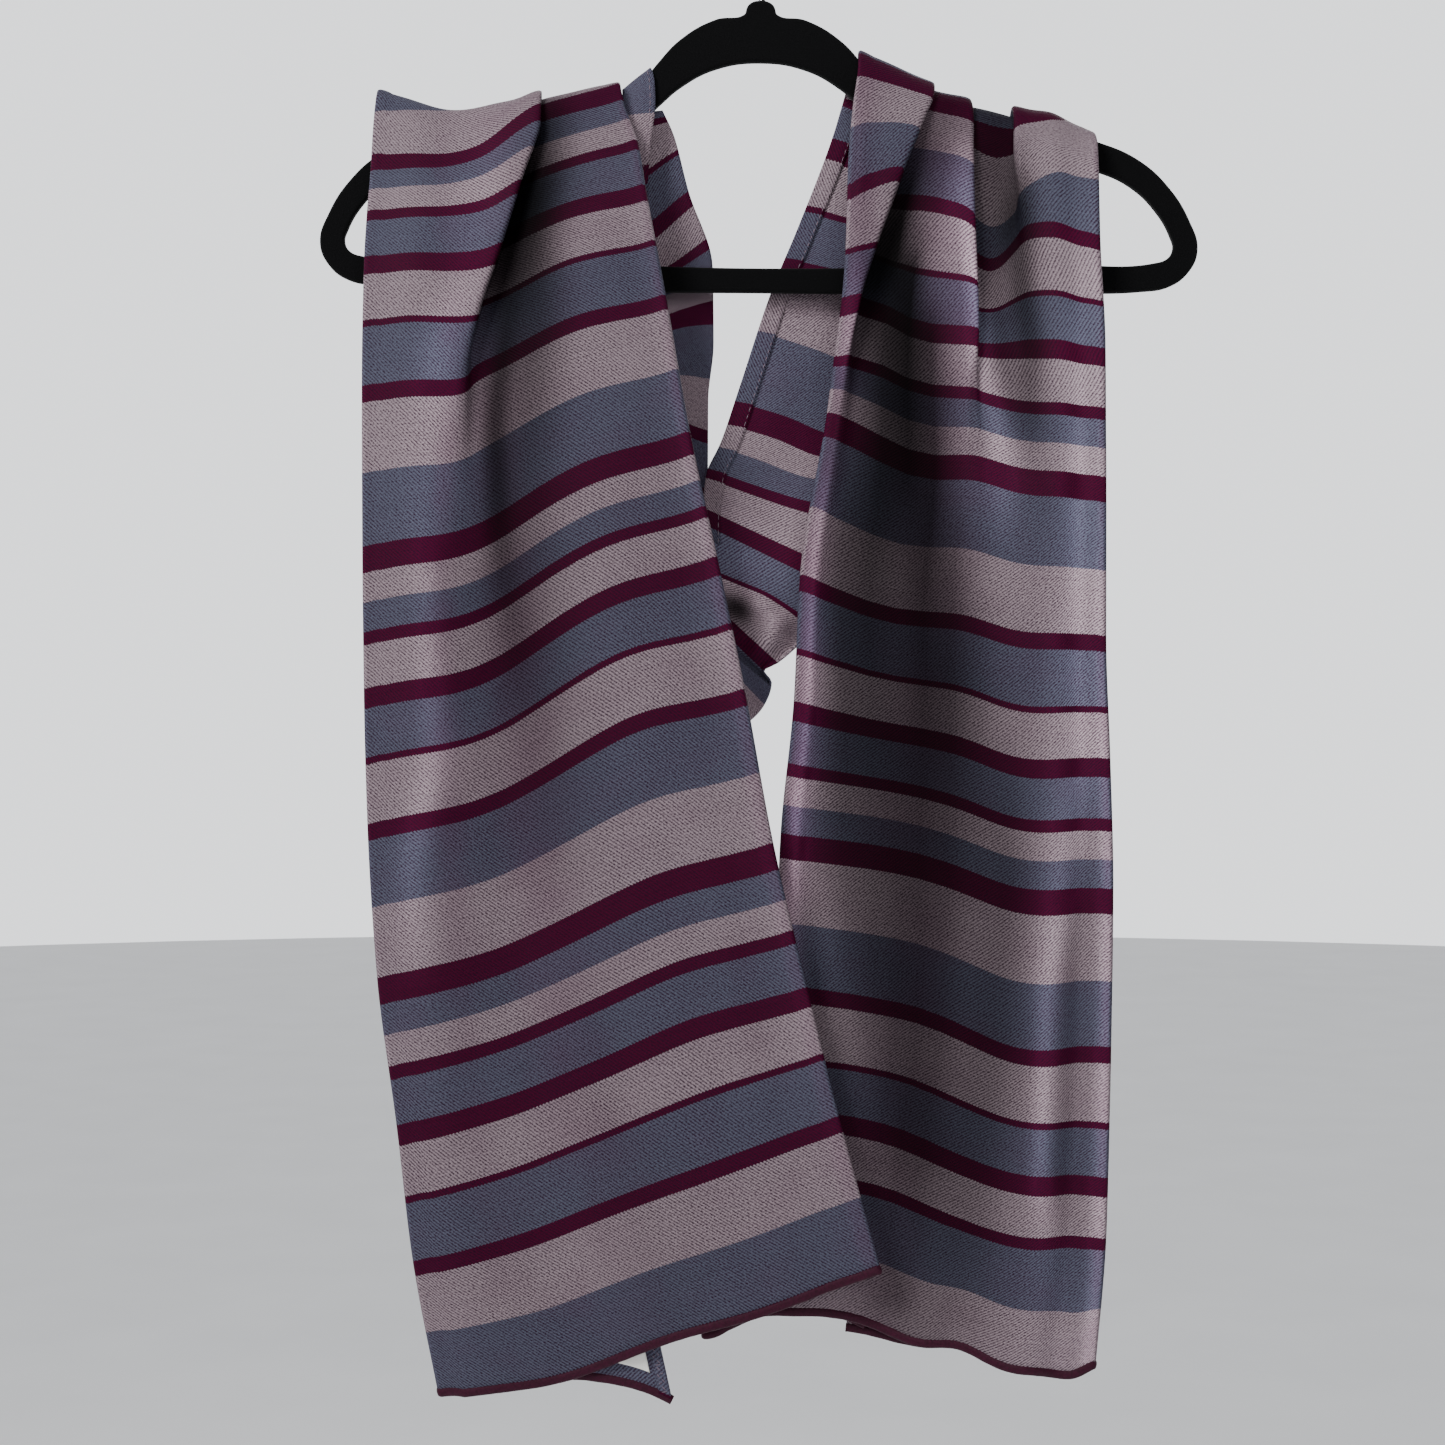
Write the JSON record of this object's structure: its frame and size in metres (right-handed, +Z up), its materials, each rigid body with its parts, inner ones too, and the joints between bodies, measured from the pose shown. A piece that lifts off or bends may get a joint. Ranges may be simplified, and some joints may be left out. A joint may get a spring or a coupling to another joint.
{
  "type": "striped scarf on a coat hanger",
  "caption": "Long striped woven scarf, folded lengthwise in three and draped over both arms of a flocked coat hanger with a wire hook, as one rigid hanging display piece",
  "frame": {"origin": "inner crown of the hanger's hook, where a rail carries it", "axes": "+Z up along the hook and against the drop of the cloth, -Y towards the viewer who sees the two front drops, +X to that viewer's right along the hanger's arms"},
  "size_m": [0.4437, 0.0633, 0.7688],
  "materials": {
    "slate_twill": "soft satiny twill in slate blue, taupe and burgundy stripes",
    "stone_twill": "the same twill where the taupe stripes lead",
    "burgundy_hem": "rolled and hemmed burgundy edge",
    "woven_label": "plain woven off-white label, bare",
    "black_flock": "matte black flocking over moulded plastic",
    "chromed_steel": "bright plated wire"
  },
  "bodies": {
    "root": {"left_front": "slate_twill", "right_front": "stone_twill", "left_end_hem": "burgundy_hem", "right_end_hem": "burgundy_hem", "left_back": "slate_twill", "loop_bottom": "stone_twill", "right_back": "slate_twill", "right_back_side_hem": "stone_twill", "left_neck_fold": "slate_twill", "label": "woven_label", "hanger_frame": "black_flock", "hanger_hook": "chromed_steel"}
  },
  "joints": []
}
